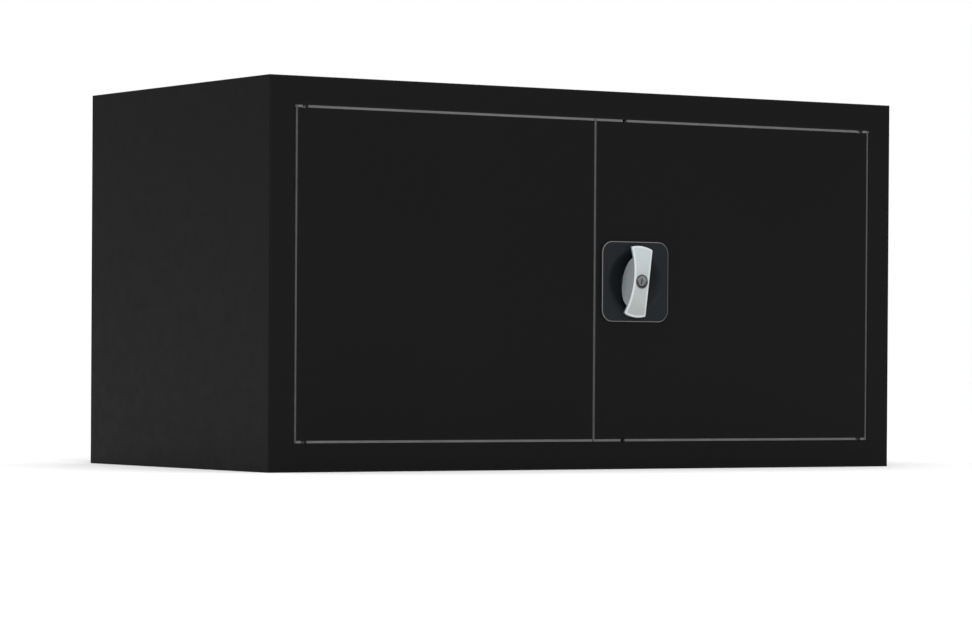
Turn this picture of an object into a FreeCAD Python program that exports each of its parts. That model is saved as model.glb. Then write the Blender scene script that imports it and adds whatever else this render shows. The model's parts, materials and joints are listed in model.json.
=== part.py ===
import FreeCAD, Part
import math
import os

# Two-door steel top cabinet with a rotary handle lock.  Millimetres, +Z up.
# Origin: centre of the base.  The front faces -Y, left and right are as seen from the front.

# ---- overall ----
WIDTH = 980.0
DEPTH = 500.0
HEIGHT = 500.0

# ---- carcass ----
SHEET = 1.0                 # wall of every folded panel
BEND = 1.0                  # inner bend radius
STILE = 36.3                # width of the front stiles
TOP_RAIL = 36.7
BOTTOM_RAIL = 36.4
STOP_LIP = 12.0             # lip behind the door edges
SIDE_LIP = 10.0
REAR_FLANGE = 20.0
WELD_FLANGE = 15.0          # flanges of top and bottom along the side walls
SEAM = 0.1                  # fine joint between two panels at the back

# ---- inside ----
UPRIGHT_WIDTH = 20.0
UPRIGHT_DEPTH = 10.0
UPRIGHT_INSET = 48.0        # upright centre to the front or rear face
SLOT_HEIGHT = 10.0
SLOT_WIDTH = 4.0
SLOT_PITCH = 25.0
SHELF_HEIGHT = 265.0        # top face of the shelf
SHELF_FOLD = 25.0
SHELF_RETURN = 12.0
SHELF_GAP = 1.0             # shelf end to upright
SHELF_FRONT = 45.0          # shelf front edge behind the cabinet front
SHELF_REAR_GAP = 6.0
CLIP_REACH = 12.0
CLIP_PLATE = 2.0
RIVET_RADIUS = 2.4
RIVET_HEAD = 4.0
RIVET_TAIL = 1.2
SIDE_RIVETS = 4
RAIL_RIVETS = 7
BOLT_HOLE = 4.25            # radius of the connecting-bolt holes
BOLT_INSET = 60.0           # those holes to the sides, front and back

# ---- doors ----
DOOR_GAP = 3.5
DOOR_DEPTH = 20.0
DOOR_LIP = 12.0
DOOR_EDGE = 1.6             # outer radius of the door's front folds
SWING_CLEAR = 0.9           # rear corner of an opening door to the stop lips
STIFFENER_WIDTH = 40.0
STIFFENER_FLANGE = 10.0
STIFFENER_DEPTH = 12.0
STIFFENER_END = 25.0

# ---- door seals ----
HINGE_SEAL_CLEAR = 1.2      # gap left beside the seal on the hinge edge
CENTRE_SEAL_CLEAR = 0.7
RAIL_SEAL_CLEAR = 0.4
SEAL_RECESS = 0.6           # behind the front face
SEAL_DEPTH = 12.0

# ---- pivot hinges ----
HINGE_IN = 11.5             # axis to the door's outer edge
HINGE_BACK = 5.5            # axis behind the front face
PIN_RADIUS = 2.5
PIN_IN_DOOR = 18.0
PIN_IN_FRAME = 5.0
BUSH_WALL = 0.8
BUSH_COLLAR = 3.8           # collar radius
BUSH_NECK = 3.0             # height of the neck in the frame
TOP_COLLAR_CLEAR = 1.0      # upper collar to the door
BOTTOM_COLLAR_CLEAR = 0.1   # the doors stand on the lower collars
RUN_FIT = 0.05              # radial running clearance
LOOSE = 0.1                 # clearance of fixed pieces in their holes
NOTCH = 0.25                # seal end to what it gives way to
BRACKET_LENGTH = 28.0
BRACKET_THICK = 3.0

# ---- buffers ----
BUFFER_RADIUS = 3.5
BUFFER_GAP = 0.3
BUFFER_LEFT = -60.0
BUFFER_RIGHT = 130.0

# ---- handle and rosette ----
HANDLE_OFFSET = 63.2        # axis right of the cabinet's centre
HANDLE_HEIGHT = 248.7
HANDLE_TILT = 7.0           # degrees clockwise at rest
ROSETTE_WIDTH = 106.5
ROSETTE_HEIGHT = 107.0
ROSETTE_CORNER = 16.0
ROSETTE_PROUD = 3.0
ROSETTE_EDGE = 1.6
BOWL_RIM = 43.0
BOWL_WALL = 2.0
BOWL_ROUND = 9.0            # soft rim between plate and bowl
COLLAR_RADIUS = 18.0        # thick middle of the bowl that carries the hub
COLLAR_STEP = 0.24          # its rear face behind the bowl
STUD_X = 42.0
STUD_Z = 44.0
STUD_RADIUS = 2.5
STUD_LENGTH = 11.0
NUT_RADIUS = 4.6
NUT_THICK = 4.0
HUB_RADIUS = 14.0
HUB_CLEAR = 0.3
HUB_HEIGHT = 4.6
GRIP_PROUD = 18.0           # front of the grip ahead of the door
GRIP_REACH = 47.5           # axis to the grip's ends
GRIP_END = 33.6             # width at the ends
GRIP_WAIST = 24.4
GRIP_CROWN = 148.0          # radius of the curved front
GRIP_WING = 3.5             # thickness of the wings
GRIP_DISC = 34.6            # radius of the half disc in the bowl
DISC_DROP = 2.0             # its centre below the axis
GRIP_CLEAR = 1.6            # half disc to the bowl
GRIP_CORNER = 1.6
GRIP_ROUND = 1.3

# ---- lock ----
CYLINDER_RADIUS = 9.4
CYLINDER_PROUD = 0.8
CYLINDER_SHORT = 5.0        # its rear end ahead of the collar's
CYLINDER_BEZEL = 7.6
BEZEL_DEPTH = 0.8
PLUG_RADIUS = 5.5
KEYWAY = 1.6
KEYWAY_HEIGHT = 8.0
KEYWAY_DEPTH = 14.0
CRANK_THROW = 2.12          # crank pin off the key axis
CRANK_PIN = 0.8
CRANK_DISC = 3.0
CRANK_CLEAR = 0.15
BOLT_TRAVEL = 3.0
BOLT_THICK = 2.4
BOLT_BODY = 8.0
BOLT_TONGUE = 5.0
BOLT_TAIL = 4.0
BOLT_SHOULDER = 7.0
BOLT_CLEAR = 0.1
SPINDLE_RADIUS = 6.0
SPINDLE_SQUARE = 8.0
MODULE = 1.5
PINION_TEETH = 12
TOOTH_SHARE = 0.7           # addendum in modules
TOOTH_FOOT = 0.3            # extra depth below the mating tip
BACKLASH = 0.25
PRESSURE = math.radians(20.0)
RACK_THICK = 3.0
RACK_CLEAR = 0.5            # racks behind the collar, and rods ahead of the case
RACK_HEAD = 34.0            # axis to the rod ends
RACK_CROSS = 10.0           # height of the lower rack's cross arm
RACK_ARM = 7.0
ROD_RADIUS = 3.0
ROD_OFFSET = 16.5           # rods left of the handle axis
ROD_PROUD = 1.8             # rod tip beyond the door edge at rest
ROD_CLEAR = 0.4
ROD_TIP = 1.5               # bevel of the rod tips
KEEPER_WALL = 1.25
KEEPER_COLLAR = 7.0
KEEPER_THICK = 2.0
GUIDE_INSET = 22.0
GUIDE_WIDTH = 18.0
GUIDE_FOOT = 10.0
CASE_WALL = 1.5
CASE_HALF = 47.0
CASE_FOOT = 11.0
CASE_HEIGHT = 72.0
CASE_IN_DOOR = 0.5          # inner face of its rear wall ahead of the door's rear
SCREW_HEAD = 4.0
SCREW_HEAD_THICK = 2.5
SCREW_SPREAD = 50.0
THRUST_THICK = 0.8
THRUST_RADIUS = 10.0
LEVER_THICK = 3.0
LEVER_HUB = 11.0
LEVER_LENGTH = 75.0
LEVER_TIP = 12.0            # width
LEVER_ROOT = 17.0
LATCH_CLEAR = 0.3
LATCH_KEEPER_HEIGHT = 40.0
LATCH_KEEPER_WIDTH = 14.0
WASHER_RADIUS = 8.0
WASHER_THICK = 1.0
END_SCREW_HEAD = 5.0
END_SCREW_HEAD_THICK = 3.0
END_SCREW_RADIUS = 2.0
END_SCREW_LENGTH = 12.0

# ---- places worked out from the sizes above ----
FRONT = -DEPTH / 2
REAR = DEPTH / 2
SIDE = WIDTH / 2
CORNER = SHEET + BEND       # outer radius of the carcass folds
RETURN = HINGE_BACK + math.hypot(HINGE_IN, DOOR_DEPTH - HINGE_BACK) + SWING_CLEAR + SHEET
OPENING = SIDE - STILE      # half width of the door opening
OPEN_LOW = BOTTOM_RAIL
OPEN_HIGH = HEIGHT - TOP_RAIL
DOOR_LOW = OPEN_LOW + DOOR_GAP
DOOR_HIGH = OPEN_HIGH - DOOR_GAP
DOOR_OUT = OPENING - DOOR_GAP
DOOR_IN = DOOR_GAP / 2
HINGE_SEAL = DOOR_GAP - HINGE_SEAL_CLEAR
CENTRE_SEAL = DOOR_GAP - CENTRE_SEAL_CLEAR
RAIL_SEAL = DOOR_GAP - RAIL_SEAL_CLEAR
HINGE_X = DOOR_OUT - HINGE_IN
HINGE_Y = FRONT + HINGE_BACK
AXIS_X = HANDLE_OFFSET
AXIS_Z = HANDLE_HEIGHT
PITCH_RADIUS = MODULE * PINION_TEETH / 2
RACK_TRAVEL = PITCH_RADIUS * math.pi / 2
ADDENDUM = TOOTH_SHARE * MODULE
DEDENDUM = ADDENDUM + TOOTH_FOOT
CASE_BACK = DOOR_DEPTH - CASE_IN_DOOR
RACK_BACK = CASE_BACK - RACK_CLEAR - ROD_RADIUS - RACK_THICK / 2
COLLAR_BACK = RACK_BACK - RACK_CLEAR
CYLINDER_BACK = COLLAR_BACK - CYLINDER_SHORT
HUB_FRONT = COLLAR_BACK - HUB_HEIGHT
ROD_X = AXIS_X - ROD_OFFSET
ROD_Y = FRONT + RACK_BACK + RACK_THICK / 2
PLATE_FRONT = FRONT - ROSETTE_PROUD
BOWL_DEPTH = ROSETTE_PROUD + COLLAR_BACK - COLLAR_STEP - BOWL_WALL
BOWL_RADIUS = (BOWL_RIM ** 2 + BOWL_DEPTH ** 2) / (2 * BOWL_DEPTH)
BOWL_CENTRE = PLATE_FRONT + BOWL_DEPTH - BOWL_RADIUS
GRIP_FRONT = FRONT - GRIP_PROUD
BOLT_MID = FRONT + COLLAR_BACK - HUB_HEIGHT / 2
LEVER_FRONT = FRONT + CASE_BACK + CASE_WALL + THRUST_THICK
LEVER_REAR = LEVER_FRONT + LEVER_THICK


def vec(x, y, z):
    return FreeCAD.Vector(x, y, z)


def block(x0, x1, y0, y1, z0, z1):
    return Part.makeBox(x1 - x0, y1 - y0, z1 - z0, vec(x0, y0, z0))


def rod_between(radius, start, end):
    return Part.makeCylinder(radius, (end - start).Length, start, end - start)


def rod_y(radius, y0, y1, x=AXIS_X, z=AXIS_Z):
    return rod_between(radius, vec(x, y0, z), vec(x, y1, z))


def rod_z(radius, x, y, z0, z1):
    return rod_between(radius, vec(x, y, z0), vec(x, y, z1))


def mirrored(shape):
    return shape.mirror(vec(0, 0, 0), vec(1, 0, 0))


def joined(shapes):
    """One solid from several that touch or overlap."""
    whole = shapes[0].multiFuse(shapes[1:]) if len(shapes) > 1 else shapes[0]
    return whole.removeSplitter()


def without(shape, cuts):
    return shape.cut(cuts)


def filleted(shape, radius, wanted):
    """Rounds the edges that the test picks."""
    edges = [edge for edge in shape.Edges if wanted(edge)]
    return shape.makeFillet(radius, edges)


def runs_along(edge, axis):
    """Whether an edge is straight and parallel to x, y or z (0, 1 or 2)."""
    a, b = edge.Vertexes[0].Point, edge.Vertexes[-1].Point
    step = [abs(b[i] - a[i]) for i in range(3)]
    return edge.Curve.TypeId == "Part::GeomLine" and max(step) == step[axis] > 1e-6


def in_plane(edge, axis, value):
    """Whether a whole edge lies at one value of x, y or z."""
    box = edge.BoundBox
    low = (box.XMin, box.YMin, box.ZMin)[axis]
    high = (box.XMax, box.YMax, box.ZMax)[axis]
    return abs(low - value) < 1e-4 and abs(high - value) < 1e-4


def corner_arcs(points, wall, bend):
    """For each inner corner of a centre line: directions, turn, arc ends, centre, way out and radius."""
    corners = []
    radius = bend + wall / 2
    for before, corner, after in zip(points, points[1:], points[2:]):
        d0 = (corner - before).normalize()
        d1 = (after - corner).normalize()
        turn = 1 if d0.x * d1.y - d0.y * d1.x > 0 else -1
        tangent = radius * math.tan(d0.getAngle(d1) / 2)
        normal0 = FreeCAD.Vector(-d0.y, d0.x, 0)
        start = corner - d0 * tangent
        end = corner + d1 * tangent
        centre = start + normal0 * (radius * turn)
        corners.append((d0, d1, turn, start, end, centre, (corner - centre).normalize(), radius))
    return corners


def sheet_side(points, corners, offset):
    """One face of the folded sheet, as edges along the centre line moved by the offset to its left."""
    first = (points[1] - points[0]).normalize()
    last = (points[-1] - points[-2]).normalize()
    here = points[0] + FreeCAD.Vector(-first.y, first.x, 0) * offset
    edges = []
    for d0, d1, turn, start, end, centre, outward, radius in corners:
        a = start + FreeCAD.Vector(-d0.y, d0.x, 0) * offset
        b = end + FreeCAD.Vector(-d1.y, d1.x, 0) * offset
        middle = centre + outward * (radius - turn * offset)
        edges.append(Part.LineSegment(here, a).toShape())
        edges.append(Part.Arc(a, middle, b).toShape())
        here = b
    end = points[-1] + FreeCAD.Vector(-last.y, last.x, 0) * offset
    edges.append(Part.LineSegment(here, end).toShape())
    return edges, end


def folded(corner_points, wall, plane, low, high, bend=BEND):
    """A sheet folded along an open centre line, drawn in a plane (xy, yz or xz) and run from low to high."""
    points = [FreeCAD.Vector(a, b, 0) for a, b in corner_points]
    corners = corner_arcs(points, wall, bend)
    left, left_end = sheet_side(points, corners, wall / 2)
    right, right_end = sheet_side(points, corners, -wall / 2)
    caps = [
        Part.LineSegment(left_end, right_end).toShape(),
        Part.LineSegment(right[0].Vertexes[0].Point, left[0].Vertexes[0].Point).toShape(),
    ]
    wire = Part.Wire(Part.__sortEdges__(left + caps + right))
    solid = Part.Face(wire).extrude(FreeCAD.Vector(0, 0, high - low))
    turns = {
        "xy": FreeCAD.Rotation(),
        "yz": FreeCAD.Rotation(vec(0, 1, 0), vec(0, 0, 1), vec(1, 0, 0), "XYZ"),
        "xz": FreeCAD.Rotation(vec(1, 0, 0), vec(0, 0, 1), vec(0, -1, 0), "XYZ"),
    }
    shifts = {"xy": vec(0, 0, low), "yz": vec(low, 0, 0), "xz": vec(0, high, 0)}
    solid.Placement = FreeCAD.Placement(shifts[plane], turns[plane])
    return solid


# ---- carcass ----
def carcass_outline():
    """The carcass as a plain block, rounded along its four long edges."""
    outline = block(-SIDE, SIDE, FRONT, REAR, 0, HEIGHT)
    return filleted(outline, CORNER, lambda edge: runs_along(edge, 0))


def side_panel():
    """Left side: wall, front stile with its return and lip, and rear flange."""
    half = SHEET / 2
    line = [
        (-OPENING + SIDE_LIP, FRONT + RETURN - half),
        (-OPENING - half, FRONT + RETURN - half),
        (-OPENING - half, FRONT + half),
        (-SIDE + half, FRONT + half),
        (-SIDE + half, REAR - half),
        (-SIDE + REAR_FLANGE, REAR - half),
    ]
    panel = folded(line, SHEET, "xy", 0, HEIGHT)
    inner = (-SIDE + SHEET, 0, FRONT + SHEET, REAR - SHEET)
    cuts = [block(*inner, 0, SHEET), block(*inner, HEIGHT - SHEET, HEIGHT)]
    flats = []
    fold_start = -OPENING - CORNER
    for low, high, lip_low, lip_high in (
        (0, OPEN_LOW, 0, OPEN_LOW + STOP_LIP),
        (OPEN_HIGH, HEIGHT, OPEN_HIGH - STOP_LIP, HEIGHT),
    ):
        cuts.append(block(fold_start, 0, FRONT, REAR - SHEET, low, high))
        cuts.append(block(-OPENING, 0, FRONT, REAR - SHEET, lip_low, lip_high))
        flats.append(block(fold_start, -OPENING, FRONT, FRONT + SHEET, low, high))
    panel = joined([without(panel, cuts)] + flats)
    return without(panel.common(carcass_outline()), rivet_holes())


def rail_panel(rail, sign, base):
    """Top or bottom: plate, front rail with return and stop lip, rear flange and weld flanges.

    Drawn as a bottom panel from z = 0 up; sign -1 turns it over and base moves it to its height."""
    half = SHEET / 2
    notch = FRONT + RETURN
    front_line = [
        (notch, half),
        (FRONT + half, half),
        (FRONT + half, rail - half),
        (FRONT + RETURN - half, rail - half),
        (FRONT + RETURN - half, rail + STOP_LIP),
    ]
    rear_line = [(REAR - REAR_FLANGE, half), (REAR - half, half), (REAR - half, REAR_FLANGE)]
    rear_half = SIDE - REAR_FLANGE - SEAM
    wall = SIDE - SHEET
    pieces = [
        folded(front_line, SHEET, "yz", -OPENING, OPENING),
        folded(rear_line, SHEET, "yz", -rear_half, rear_half),
        block(-wall, wall, notch, REAR - REAR_FLANGE, 0, SHEET),
        block(-wall, -OPENING, FRONT + SHEET, notch, 0, SHEET),
        block(OPENING, wall, FRONT + SHEET, notch, 0, SHEET),
        block(-wall, -rear_half, REAR - REAR_FLANGE, REAR - SHEET, 0, SHEET),
        block(rear_half, wall, REAR - REAR_FLANGE, REAR - SHEET, 0, SHEET),
        block(-wall, -wall + SHEET, notch, REAR - REAR_FLANGE, 0, WELD_FLANGE),
        block(wall - SHEET, wall, notch, REAR - REAR_FLANGE, 0, WELD_FLANGE),
    ]
    panel = joined(pieces).common(carcass_outline())
    neck = PIN_RADIUS + RUN_FIT + BUSH_WALL + LOOSE
    keeper = ROD_RADIUS + ROD_CLEAR + KEEPER_WALL + LOOSE
    panel = without(panel, [
        rod_z(neck, HINGE_X, HINGE_Y, rail - 2 * SHEET, rail + SHEET),
        rod_z(neck, -HINGE_X, HINGE_Y, rail - 2 * SHEET, rail + SHEET),
        rod_z(keeper, ROD_X, ROD_Y, rail - 2 * SHEET, rail + SHEET),
    ] + rivet_holes())
    if sign < 0:
        panel = panel.mirror(vec(0, 0, 0), vec(0, 0, 1))
        panel.translate(vec(0, 0, base))
    return panel


def bottom_panel():
    holes = []
    for x in (-SIDE + BOLT_INSET, SIDE - BOLT_INSET):
        for y in (FRONT + BOLT_INSET, REAR - BOLT_INSET):
            holes.append(rod_z(BOLT_HOLE, x, y, -SHEET, 2 * SHEET))
    return without(rail_panel(BOTTOM_RAIL, 1, 0), holes)


def rivet_places():
    """Centres (x, z) of the rivets round the back."""
    inset = REAR_FLANGE / 2
    places = []
    for i in range(SIDE_RIVETS):
        z = HEIGHT * (i + 0.5) / SIDE_RIVETS
        places += [(-SIDE + inset, z), (SIDE - inset, z)]
    for i in range(RAIL_RIVETS):
        x = (i - (RAIL_RIVETS - 1) / 2) * 2 * (SIDE - REAR_FLANGE) / RAIL_RIVETS
        places += [(x, inset), (x, HEIGHT - inset)]
    return places


def rivet_holes():
    return [
        rod_y(RIVET_RADIUS + RUN_FIT, REAR - 4 * SHEET, REAR + SHEET, x, z)
        for x, z in rivet_places()
    ]


def back_panel():
    margin = SHEET + BEND
    wall = SIDE - margin
    plate = block(-wall, wall, REAR - 2 * SHEET, REAR - SHEET, margin, HEIGHT - margin)
    return without(plate, rivet_holes())


def back_rivets():
    """Blind rivets, flush outside, with their tails inside."""
    rivets = []
    for x, z in rivet_places():
        shank = rod_y(RIVET_RADIUS, REAR - 2 * SHEET, REAR, x, z)
        tail = rod_y(RIVET_HEAD, REAR - 2 * SHEET - RIVET_TAIL, REAR - 2 * SHEET, x, z)
        rivets.append(joined([shank, tail]))
    return Part.makeCompound(rivets)


def upright_low():
    return SHEET + WELD_FLANGE + SHEET


def slot_heights():
    """Lower edges of the slots in an upright."""
    room = HEIGHT - 2 * upright_low() - SLOT_PITCH
    count = int(room / SLOT_PITCH)
    return [upright_low() + SLOT_PITCH * (i + 0.6) for i in range(count)]


def clip_slot():
    """The slot that carries the shelf."""
    under = SHELF_HEIGHT - SHELF_FOLD - CLIP_PLATE - SLOT_HEIGHT
    return min(slot_heights(), key=lambda z: abs(z - under))


def upright(x_sign, y):
    """Slotted channel on a side wall."""
    half = SHEET / 2
    wall = SIDE - SHEET
    width = UPRIGHT_WIDTH / 2 - half
    line = [
        (-wall, y - width),
        (-wall + UPRIGHT_DEPTH - half, y - width),
        (-wall + UPRIGHT_DEPTH - half, y + width),
        (-wall, y + width),
    ]
    channel = folded(line, SHEET, "xy", upright_low(), HEIGHT - upright_low())
    slots = [
        block(
            -wall + UPRIGHT_DEPTH - 2 * SHEET, -wall + UPRIGHT_DEPTH + SHEET,
            y - SLOT_WIDTH / 2, y + SLOT_WIDTH / 2, z, z + SLOT_HEIGHT,
        )
        for z in slot_heights()
    ]
    channel = without(channel, slots)
    return channel if x_sign < 0 else mirrored(channel)


def upright_places():
    return (FRONT + UPRIGHT_INSET, REAR - UPRIGHT_INSET)


def shelf_half():
    return SIDE - SHEET - UPRIGHT_DEPTH - SHELF_GAP


def shelf():
    """Shelf folded down on four sides, with returns along front and rear."""
    half = shelf_half()
    front = FRONT + SHELF_FRONT
    rear = REAR - 2 * SHEET - SHELF_REAR_GAP
    low = shelf_seat()
    high = low + SHELF_FOLD
    body = block(-half, half, front, rear, low, high)
    body = filleted(body, BEND + SHEET, lambda edge: in_plane(edge, 2, high))
    hollow = block(-half + SHEET, half - SHEET, front + SHEET, rear - SHEET, low + SHEET, high - SHEET)
    hollow = filleted(hollow, BEND, lambda edge: in_plane(edge, 2, high - SHEET))
    mouth = block(
        -half + SHEET, half - SHEET, front + SHELF_RETURN, rear - SHELF_RETURN, low, low + 2 * SHEET,
    )
    return without(body, [hollow, mouth])


def shelf_seat():
    """Lower edge of the shelf, on its clips."""
    return clip_slot() + SLOT_HEIGHT + CLIP_PLATE


def shelf_clips():
    """Clips with a hook in the slot and a ledge under the shelf."""
    clips = []
    face = SIDE - SHEET - UPRIGHT_DEPTH
    for y in upright_places():
        ledge_low = shelf_seat() - CLIP_PLATE
        hook_low = clip_slot() + RUN_FIT
        ledge = block(
            -face, -face + SHELF_GAP + CLIP_REACH,
            y - UPRIGHT_WIDTH / 2, y + UPRIGHT_WIDTH / 2, ledge_low, ledge_low + CLIP_PLATE,
        )
        plate = block(
            -face, -face + CLIP_PLATE, y - UPRIGHT_WIDTH / 2, y + UPRIGHT_WIDTH / 2, hook_low, ledge_low,
        )
        tongue = SLOT_WIDTH / 2 - LOOSE
        hook = block(
            -face - 2 * SHEET, -face, y - tongue, y + tongue, hook_low, hook_low + SLOT_HEIGHT - SHEET,
        )
        clip = joined([ledge, plate, hook])
        clips += [clip, mirrored(clip)]
    return Part.makeCompound(clips)


# ---- hinges ----
def hinge_bush(x, upper):
    """Flanged bush in the frame: collar in the door gap, neck through the frame."""
    bore = PIN_RADIUS + RUN_FIT
    collar = DOOR_GAP - (TOP_COLLAR_CLEAR if upper else BOTTOM_COLLAR_CLEAR)
    edge = OPEN_HIGH if upper else OPEN_LOW
    way = 1 if upper else -1
    bush = joined([
        rod_z(BUSH_COLLAR, x, HINGE_Y, edge - way * collar, edge),
        rod_z(bore + BUSH_WALL, x, HINGE_Y, edge, edge + way * BUSH_NECK),
    ])
    return without(bush, [rod_z(bore, x, HINGE_Y, edge - way * 2 * collar, edge + way * 2 * BUSH_NECK)])


def hinge_pin(x, upper):
    """Pin fixed in the door, with a bevelled end in the bush."""
    edge = DOOR_HIGH if upper else DOOR_LOW
    way = 1 if upper else -1
    tip = edge + way * (DOOR_GAP + PIN_IN_FRAME)
    pin = rod_z(PIN_RADIUS, x, HINGE_Y, edge - way * PIN_IN_DOOR, tip)
    return pin.makeChamfer(PIN_RADIUS / 4, [e for e in pin.Edges if in_plane(e, 2, tip)])


def hinge_brackets(x):
    """Reinforcing blocks in the door's corners that carry the pins."""
    low_x = min(x - HINGE_IN + SHEET, x + HINGE_IN - SHEET)
    start = low_x if x < 0 else x + HINGE_IN - SHEET - BRACKET_LENGTH
    rear = FRONT + DOOR_DEPTH - SHEET
    front = FRONT + SHEET + DOOR_EDGE
    brackets = []
    for low in (DOOR_LOW + SHEET, DOOR_HIGH - SHEET - BRACKET_THICK):
        plate = block(start, start + BRACKET_LENGTH, front, rear, low, low + BRACKET_THICK)
        hole = rod_z(PIN_RADIUS + LOOSE, x, HINGE_Y, low - 1, low + BRACKET_THICK + 1)
        brackets.append(without(plate, [hole]))
    return Part.makeCompound(brackets)


# ---- doors ----
def door_pan(x0, x1):
    """Door folded back on four sides, with lips behind."""
    rear = FRONT + DOOR_DEPTH
    body = block(x0, x1, FRONT, rear, DOOR_LOW, DOOR_HIGH)
    body = filleted(body, DOOR_EDGE, lambda edge: in_plane(edge, 1, FRONT))
    hollow = block(x0 + SHEET, x1 - SHEET, FRONT + SHEET, rear - SHEET, DOOR_LOW + SHEET, DOOR_HIGH - SHEET)
    hollow = filleted(hollow, DOOR_EDGE - SHEET, lambda edge: in_plane(edge, 1, FRONT + SHEET))
    mouth = block(
        x0 + DOOR_LIP, x1 - DOOR_LIP, rear - 2 * SHEET, rear + 1,
        DOOR_LOW + DOOR_LIP, DOOR_HIGH - DOOR_LIP,
    )
    return without(body, [hollow, mouth])


def pin_holes(x):
    hole = PIN_RADIUS + LOOSE
    return [
        rod_z(hole, x, HINGE_Y, DOOR_LOW - SHEET, DOOR_LOW + 2 * SHEET),
        rod_z(hole, x, HINGE_Y, DOOR_HIGH - 2 * SHEET, DOOR_HIGH + SHEET),
    ]


def left_door_panel():
    return without(door_pan(-DOOR_OUT, -DOOR_IN), pin_holes(-HINGE_X))


def bowl_radius_at(y, radius):
    """Radius of the bowl's inner or outer sphere in the plane at y."""
    return math.sqrt(radius ** 2 - (y - BOWL_CENTRE) ** 2)


def right_door_panel():
    bowl_hole = bowl_radius_at(FRONT, BOWL_RADIUS + BOWL_WALL) + 2 * RUN_FIT
    cuts = pin_holes(HINGE_X)
    cuts.append(rod_y(bowl_hole, FRONT - 1, FRONT + 2 * SHEET))
    rod_hole = ROD_RADIUS + ROD_CLEAR
    cuts.append(rod_z(rod_hole, ROD_X, ROD_Y, DOOR_LOW - SHEET, DOOR_LOW + 2 * SHEET))
    cuts.append(rod_z(rod_hole, ROD_X, ROD_Y, DOOR_HIGH - 2 * SHEET, DOOR_HIGH + SHEET))
    for x, z in stud_places():
        cuts.append(rod_y(STUD_RADIUS + LOOSE, FRONT - 1, FRONT + 2 * SHEET, x, z))
    for x, z in case_screw_places():
        cuts.append(rod_y(END_SCREW_RADIUS + LOOSE, FRONT + SHEET / 2, FRONT + 2 * SHEET, x, z))
    # the rods need room where the return lips run past them
    lip_slot = (ROD_X - rod_hole, ROD_X + rod_hole, ROD_Y, FRONT + DOOR_DEPTH + 1)
    cuts.append(block(*lip_slot, DOOR_LOW - 1, DOOR_LOW + DOOR_LIP + 1))
    cuts.append(block(*lip_slot, DOOR_HIGH - DOOR_LIP - 1, DOOR_HIGH + 1))
    return without(door_pan(DOOR_IN, DOOR_OUT), cuts)


def stiffener(centre):
    """Hat channel spot-welded behind the door's face."""
    half = SHEET / 2
    near = FRONT + SHEET + half
    far = FRONT + SHEET + STIFFENER_DEPTH - half
    wide = STIFFENER_WIDTH / 2
    line = [
        (centre - wide - STIFFENER_FLANGE, near),
        (centre - wide, near),
        (centre - wide, far),
        (centre + wide, far),
        (centre + wide, near),
        (centre + wide + STIFFENER_FLANGE, near),
    ]
    return folded(line, SHEET, "xy", DOOR_LOW + STIFFENER_END, DOOR_HIGH - STIFFENER_END)


# ---- seals ----
def seal_y():
    return (FRONT + SEAL_RECESS, FRONT + SEAL_RECESS + SEAL_DEPTH)


def bush_notch(x, low, high):
    """Room for a bush collar, open to the front."""
    reach = BUSH_COLLAR + NOTCH
    return joined([
        rod_z(reach, x, HINGE_Y, low, high),
        block(x - reach, x + reach, FRONT, HINGE_Y, low, high),
    ])


def rod_notch(low, high):
    """Room for a lock rod, open to the front and rear."""
    reach = ROD_RADIUS + NOTCH
    return block(ROD_X - reach, ROD_X + reach, FRONT, ROD_Y + ROD_RADIUS + 1, low, high)


def top_seal():
    low = OPEN_HIGH - RAIL_SEAL
    strip = block(-OPENING, OPENING, *seal_y(), low, OPEN_HIGH)
    cuts = [bush_notch(x, low - 1, OPEN_HIGH + 1) for x in (-HINGE_X, HINGE_X)]
    return without(strip, cuts + [rod_notch(low - 1, OPEN_HIGH + 1)])


def door_seal(hinge_sign, x0, x1, extra):
    """Seal along a door's hinge edge and bottom edge, with any extra strips."""
    low = DOOR_LOW - RAIL_SEAL
    outer = hinge_sign * DOOR_OUT
    hinge_edge = sorted((outer, outer + hinge_sign * HINGE_SEAL))
    strips = [
        block(*hinge_edge, *seal_y(), DOOR_LOW, DOOR_HIGH),
        block(min(hinge_edge[0], x0), max(hinge_edge[1], x1), *seal_y(), low, DOOR_LOW),
    ]
    notch = bush_notch(hinge_sign * HINGE_X, low - 1, DOOR_LOW)
    return without(joined(strips + extra), [notch])


def left_door_seal():
    return door_seal(-1, -DOOR_OUT, -DOOR_IN, [])


def right_door_seal():
    low = DOOR_LOW - RAIL_SEAL
    centre = block(DOOR_IN - CENTRE_SEAL, DOOR_IN, *seal_y(), low, DOOR_HIGH)
    whole = door_seal(1, DOOR_IN, DOOR_OUT, [centre])
    return without(whole, [rod_notch(low - 1, DOOR_LOW)])


def door_buffers():
    """Rubber buttons on the stop lips of the rails."""
    lip = FRONT + RETURN - SHEET
    front = FRONT + DOOR_DEPTH + BUFFER_GAP
    buffers = []
    for x in (BUFFER_LEFT, BUFFER_RIGHT):
        for z in (OPEN_LOW + STOP_LIP - BUFFER_RADIUS, OPEN_HIGH - STOP_LIP + BUFFER_RADIUS):
            buffers.append(rod_y(BUFFER_RADIUS, front, lip, x, z))
    return Part.makeCompound(buffers)


# ---- rosette ----
def stud_places():
    return [(AXIS_X + sx * STUD_X, AXIS_Z + sz * STUD_Z) for sx in (-1, 1) for sz in (-1, 1)]


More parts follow.
